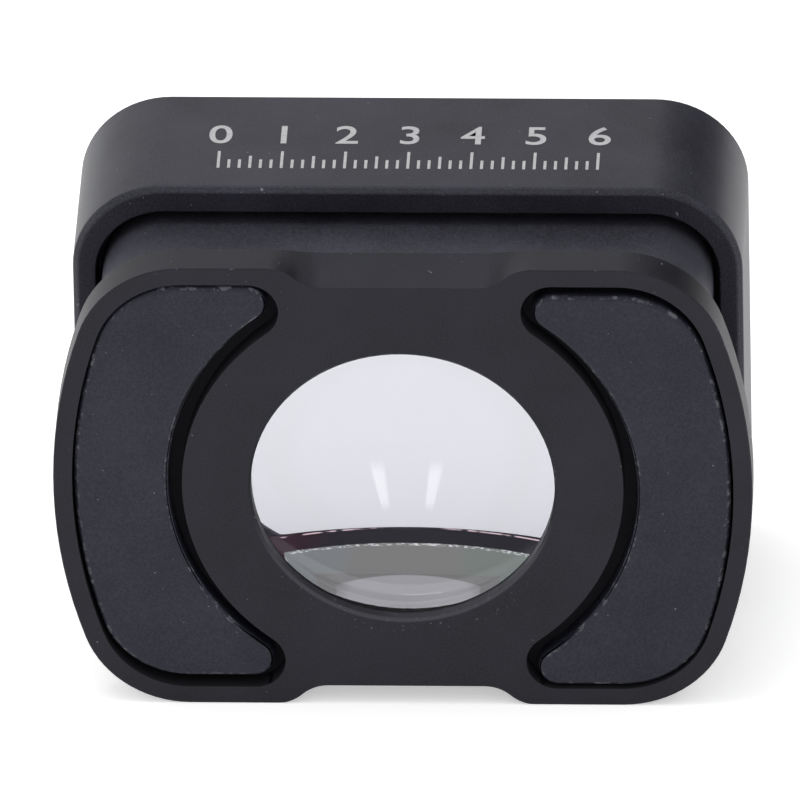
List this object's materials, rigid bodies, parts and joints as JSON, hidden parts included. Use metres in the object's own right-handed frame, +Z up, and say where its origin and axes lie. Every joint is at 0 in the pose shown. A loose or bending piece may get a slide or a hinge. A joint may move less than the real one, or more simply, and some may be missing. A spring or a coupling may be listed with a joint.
{
  "type": "magnetic telephoto attachment lens",
  "caption": "Small black add-on telephoto lens: a rounded rear plate with crescent magnets and a round rear glass, a short neck, and a rounded rectangular hood around a front glass.",
  "frame": {"origin": "centre of the rear mounting face, on the optical axis", "axes": "+X to the right seen from behind, +Y forward along the optical axis, +Z up"},
  "size_m": [0.033, 0.0177, 0.0238],
  "materials": {
    "plate_anodised": "black hard-anodised aluminium, fine blasted",
    "neck_anodised": "black hard-anodised aluminium, fine blasted",
    "hood_anodised": "black hard-anodised aluminium, fine blasted",
    "magnet_coat": "black epoxy-coated magnet",
    "adhesive": "thin black adhesive sheet",
    "screw_steel": "blackened steel",
    "pin_steel": "ground steel",
    "rear_glass": "polished optical glass with a multilayer coating",
    "flint_glass": "polished optical glass",
    "crown_glass": "polished optical glass with a multilayer coating",
    "ring_black": "matt black anodised aluminium",
    "baffle_black": "satin black moulded plastic",
    "gasket_black": "thin black rubber",
    "cell_black": "matt black moulded plastic",
    "bezel_black": "satin black anodised aluminium"
  },
  "bodies": {
    "root": {"rear_plate": "plate_anodised", "magnet_left": "magnet_coat", "magnet_right": "magnet_coat", "magnet_tape_left": "adhesive", "magnet_tape_right": "adhesive", "plate_screws": "screw_steel", "locating_pins": "pin_steel", "rear_gasket": "gasket_black", "rear_element": "rear_glass", "rear_retainer": "ring_black", "neck_frame": "neck_anodised", "light_baffle": "baffle_black", "hood_shell": "hood_anodised", "hood_screws": "screw_steel", "front_flint": "flint_glass", "front_crown": "crown_glass", "edge_clips": "ring_black", "cell_gasket": "gasket_black", "front_cell": "cell_black", "bezel_tape": "adhesive", "front_bezel": "bezel_black"}
  },
  "joints": []
}
